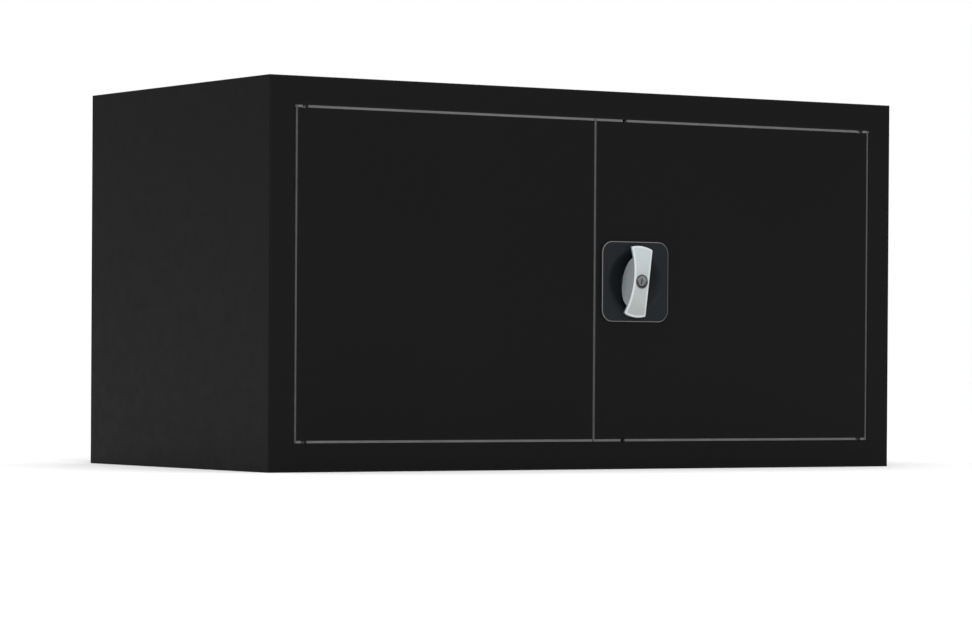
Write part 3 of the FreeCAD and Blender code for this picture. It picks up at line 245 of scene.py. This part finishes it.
def grip_highlight_band(s, x, z):
    """Mask of the painted highlight: a narrow band along the outline of the grip's front."""
    right = s.math("SUBTRACT", x, HANDLE_X)
    up = s.math("SUBTRACT", z, HANDLE_Z)
    lean_cos = math.cos(HANDLE_TILT)
    lean_sin = math.sin(HANDLE_TILT)
    across = s.math("SUBTRACT", s.math("MULTIPLY", right, lean_cos), s.math("MULTIPLY", up, lean_sin))
    along = s.math("ADD", s.math("MULTIPLY", right, lean_sin), s.math("MULTIPLY", up, lean_cos))
    flare = (GRIP_HALF_END - GRIP_HALF_WAIST) / (GRIP_REACH ** 2 - GRIP_HALF_END ** 2)
    half = s.math("ADD", s.math("MULTIPLY", s.math("POWER", along, 2.0), flare), GRIP_HALF_WAIST)
    from_side = s.math("SUBTRACT", half, s.away(across, 0.0))
    from_end = s.math("SUBTRACT", GRIP_REACH, s.length(across, along))
    nearest = s.math("MINIMUM", from_side, from_end)
    return s.spread(nearest, 0.8, 0.0, GRIP_HIGHLIGHT_WIDTH, GRIP_HIGHLIGHT_WIDTH + 0.0012)


def cast_grey():
    """Silver-grey lacquered casting of the grip, with painted light: paler and cooler above, duller with
    painted shade on its sides, painted highlights along its border and rounded edges.
    """
    s = Surface("handle_grey", 0.38, specular=0.5)
    cloud = s.spread(s.noise(22.0, 4.0, 0.5), 0.0, 1.0)
    flake = s.spread(s.cells(2600.0), 0.0, 0.3, 0.2, 0.6)
    x, _, z = s.axes()
    # painted light: the front grades from a duller darker grey below the axis to a paler cooler grey
    # above it, as if lit from above
    height = s.spread(z, 0.0, 1.0, HANDLE_Z - GRIP_SHADE_BELOW, HANDLE_Z + GRIP_LIGHT_ABOVE)
    low = s.blend(cloud, rgb(0.33, 0.352, 0.335), rgb(0.365, 0.388, 0.368))
    high = s.blend(cloud, rgb(0.445, 0.505, 0.53), rgb(0.48, 0.54, 0.565))
    # painted shade: a darker grey for the grip's sides, which face away from the front
    shaded_side = s.blend(cloud, rgb(0.37, 0.405, 0.42), rgb(0.42, 0.455, 0.47))
    front = s.blend(flake, s.blend(height, low, high), rgb(0.56, 0.60, 0.60))
    # painted highlight: a pale band along the outline of the grip's front
    highlit_border = s.blend(grip_highlight_band(s, x, z), front, rgb(0.64, 0.67, 0.67))
    facing = s.facing()
    # painted highlight: paler grey on the rounded edges between the front and the sides
    highlit_rounds = s.blend(s.spread(facing, 1.0, 0.0, 0.84, 0.94), highlit_border, rgb(0.70, 0.73, 0.73))
    s.colour(s.blend(s.spread(facing, 1.0, 0.0, 0.10, 0.45), highlit_rounds, shaded_side))
    s.roughness(s.spread(s.noise(350.0, 4.0, 0.6), 0.32, 0.46))
    s.bump(s.noise(900.0, 3.0, 0.5), 0.00003, 0.5)
    s.bump(s.edges(0.0009), 0.00004, 0.3)
    return s.material


def plate_rim_highlight(s, across, up, y):
    """Mask of the painted highlight along the plate's rounded border."""
    corner_x = s.math("MAXIMUM", s.math("SUBTRACT", across, PLATE_HALF_X - PLATE_CORNER), 0.0)
    corner_z = s.math("MAXIMUM", s.math("SUBTRACT", up, PLATE_HALF_Z - PLATE_CORNER), 0.0)
    inner = PLATE_CORNER - RIM_HIGHLIGHT_WIDTH
    border = s.spread(s.length(corner_x, corner_z), 0.0, 1.0, inner - 0.0003, inner)
    ahead = s.spread(y, 1.0, 0.0, PLATE_FRONT + 0.0004, PLATE_FRONT + RIM_DEPTH)
    return s.math("MULTIPLY", border, ahead)


def rosette_plastic():
    """Bluish black moulded plate with a fine spark texture, painted shade in its bowl and a painted
    highlight along its rim.
    """
    s = Surface("rosette_black", 0.55, specular=0.12)
    cloud = s.noise(18.0, 3.0, 0.5)
    spark = s.noise(1100.0, 3.0, 0.65)
    x, y, z = s.axes()
    across = s.away(x, HANDLE_X)
    up = s.away(z, HANDLE_Z)
    # painted shade: the bowl, recessed under the grip, is darker inside BOWL_RADIUS
    bowl_shade = s.spread(s.length(across, up), 1.0, 0.0, BOWL_RADIUS - BOWL_SHADE_FADE, BOWL_RADIUS)
    plate = s.clouded(cloud, rgb(0.0108, 0.0132, 0.0152), rgb(0.0130, 0.0155, 0.0178))
    body = s.blend(bowl_shade, plate, rgb(0.0044, 0.0060, 0.0078))
    worn = s.blend(s.edges(0.0008), body, rgb(0.030, 0.033, 0.038))
    # painted highlight: a pale line along the plate's rounded border, as if its edge caught the light
    s.colour(s.blend(plate_rim_highlight(s, across, up, y), worn, rgb(0.175, 0.177, 0.183)))
    s.roughness(s.spread(spark, 0.50, 0.64))
    s.bump(spark, 0.00003, 0.5)
    return s.material


def edge_seal():
    """Matt grey seal, with painted shade on its upright runs, darker where the door edges shade it."""
    s = Surface("seal_grey", 0.6, specular=0.3)
    cloud = s.noise(40.0, 4.0, 0.5)
    skin = s.noise(700.0, 3.0, 0.6)
    x, _, _ = s.axes()
    across = s.away(x, 0.0)
    hinge = s.spread(across, 0.0, 1.0, HINGE_EDGE, HINGE_EDGE + 0.0005)
    centre = s.spread(across, 1.0, 0.0, CENTRE_SEAL, CENTRE_SEAL + 0.0004)
    # painted shade: the upright runs, by the hinge edges and between the doors, are darker, as the door
    # edges shade them
    upright = s.math("MAXIMUM", hinge, centre)
    level = s.clouded(cloud, grey(0.105), grey(0.135))
    upright_shade = s.clouded(cloud, grey(0.055), grey(0.075))
    s.colour(s.blend(s.edges(0.0005), s.blend(upright, level, upright_shade), grey(0.12)))
    s.roughness(s.spread(skin, 0.5, 0.7))
    s.bump(skin, 0.00003, 0.5)
    return s.material


def metal(name, low, high, rough_low, rough_high, stretch, scale=240.0):
    """Bare or plated metal with drawn marks along one axis."""
    s = Surface(name, (rough_low + rough_high) / 2, metallic=1.0)
    drawn = s.noise(scale, 4.0, 0.6, s.stretched(stretch))
    body = s.clouded(s.noise(35.0, 4.0, 0.5), low, high)
    s.colour(s.blend(s.edges(0.0006), body, grey(0.8)))
    s.roughness(s.spread(drawn, rough_low, rough_high))
    s.bump(drawn, 0.00001, 0.4)
    return s.material


def turned(name, low, high, rough_low, rough_high):
    """Fine metal of the lock, with marks across its face."""
    return metal(name, low, high, rough_low, rough_high, (1.0, 0.2, 1.0), 500.0)


def rubbery(name, low, high, rough_low, rough_high):
    """Matt rubber or nylon with a fine moulded skin."""
    s = Surface(name, (rough_low + rough_high) / 2, specular=0.35)
    skin = s.noise(700.0, 3.0, 0.6)
    s.colour(s.clouded(s.noise(40.0, 4.0, 0.5), low, high))
    s.roughness(s.spread(skin, rough_low, rough_high))
    s.bump(skin, 0.00003, 0.5)
    return s.material


def paint_nodes():
    """Gives every CAD node the material of its slot, and the key plug its own."""
    materials = {
        "black_paint": powder_coat(),
        "handle_grey": cast_grey(),
        "rosette_black": rosette_plastic(),
        "zinc_steel": metal(
            "zinc_steel", rgb(0.50, 0.51, 0.53), rgb(0.62, 0.63, 0.64), 0.28, 0.46, (1.0, 1.0, 0.12)),
        "lock_steel": metal(
            "lock_steel", rgb(0.40, 0.40, 0.41), rgb(0.50, 0.50, 0.51), 0.20, 0.36, (1.0, 1.0, 0.05)),
        "chrome": turned("chrome", rgb(0.13, 0.14, 0.13), rgb(0.18, 0.19, 0.18), 0.14, 0.26),
        "seal_grey": edge_seal(),
        "nylon_black": rubbery("nylon_black", grey(0.020), grey(0.028), 0.4, 0.55),
        "buffer_rubber": rubbery("buffer_rubber", grey(0.008), grey(0.014), 0.6, 0.8),
    }
    plug = turned("plug_nickel", rgb(0.42, 0.43, 0.42), rgb(0.52, 0.53, 0.52), 0.12, 0.22)
    for part in record["subparts"]:
        slots = nodes[part["node"]].data.materials
        slots.clear()
        slots.append(plug if part["node"] == "key_plug" else materials[part["material_slot"]])


def floor():
    """Plain pale floor under the cabinet."""
    mesh = bpy.data.meshes.new("floor")
    corners = [(x, y, 0) for x, y in ((-1, -1), (1, -1), (1, 1), (-1, 1))]
    mesh.from_pydata([Vector(corner) * FLOOR_HALF for corner in corners], [], [(0, 1, 2, 3)])
    obj = bpy.data.objects.new("floor", mesh)
    scene.collection.objects.link(obj)
    s = Surface("floor", 0.85, specular=0.1)
    s.shader.inputs["Base Color"].default_value = grey(0.9)
    mesh.materials.append(s.material)


def key_light():
    """Soft light from the front left, above the camera."""
    data = bpy.data.lights.new("key", "AREA")
    data.shape = "RECTANGLE"
    data.size = KEY_WIDTH
    data.size_y = KEY_HEIGHT
    data.energy = KEY_POWER
    obj = bpy.data.objects.new("key", data)
    obj.location = KEY_PLACE
    obj.rotation_euler = (Vector(KEY_TARGET) - Vector(KEY_PLACE)).to_track_quat("-Z", "Y").to_euler()
    scene.collection.objects.link(obj)


def overhead():
    """Broad light from straight above, even over the whole floor."""
    data = bpy.data.lights.new("overhead", "SUN")
    data.energy = SUN_STRENGTH
    data.angle = SUN_SPREAD
    scene.collection.objects.link(bpy.data.objects.new("overhead", data))


def world():
    """White backdrop for the camera, a weaker even sky for everything else."""
    made = bpy.data.worlds.new("studio")
    made.use_nodes = True
    tree = made.node_tree
    sky = tree.nodes["Background"]
    sky.inputs["Color"].default_value = grey(1.0)
    sky.inputs["Strength"].default_value = SKY_LIGHT
    backdrop = tree.nodes.new("ShaderNodeBackground")
    backdrop.inputs["Color"].default_value = grey(1.0)
    backdrop.inputs["Strength"].default_value = BACKDROP
    path = tree.nodes.new("ShaderNodeLightPath")
    mix = tree.nodes.new("ShaderNodeMixShader")
    tree.links.new(path.outputs["Is Camera Ray"], mix.inputs["Fac"])
    tree.links.new(sky.outputs["Background"], mix.inputs[1])
    tree.links.new(backdrop.outputs["Background"], mix.inputs[2])
    tree.links.new(mix.outputs["Shader"], tree.nodes["World Output"].inputs["Surface"])
    scene.world = made


def camera():
    """Long lens from the front left, a little below the middle of the cabinet."""
    data = bpy.data.cameras.new("camera")
    data.lens = LENS
    data.sensor_width = SENSOR
    data.shift_y = SHIFT_Y
    data.clip_end = CAMERA_REACH
    ahead = Vector((
        math.sin(CAMERA_HEADING) * math.cos(CAMERA_RISE),
        math.cos(CAMERA_HEADING) * math.cos(CAMERA_RISE),
        math.sin(CAMERA_RISE),
    ))
    level = Vector((math.cos(CAMERA_HEADING), -math.sin(CAMERA_HEADING), 0.0))
    upright = level.cross(ahead)
    right = math.cos(CAMERA_ROLL) * level + math.sin(CAMERA_ROLL) * upright
    up = math.cos(CAMERA_ROLL) * upright - math.sin(CAMERA_ROLL) * level
    turn = Matrix((right, up, -ahead)).transposed().to_4x4()
    obj = bpy.data.objects.new("camera", data)
    obj.matrix_world = Matrix.Translation(CAMERA_PLACE) @ turn
    scene.collection.objects.link(obj)
    scene.camera = obj


paint_nodes()
floor()
world()
camera()
key_light()
overhead()
scene.view_settings.view_transform = "Standard"
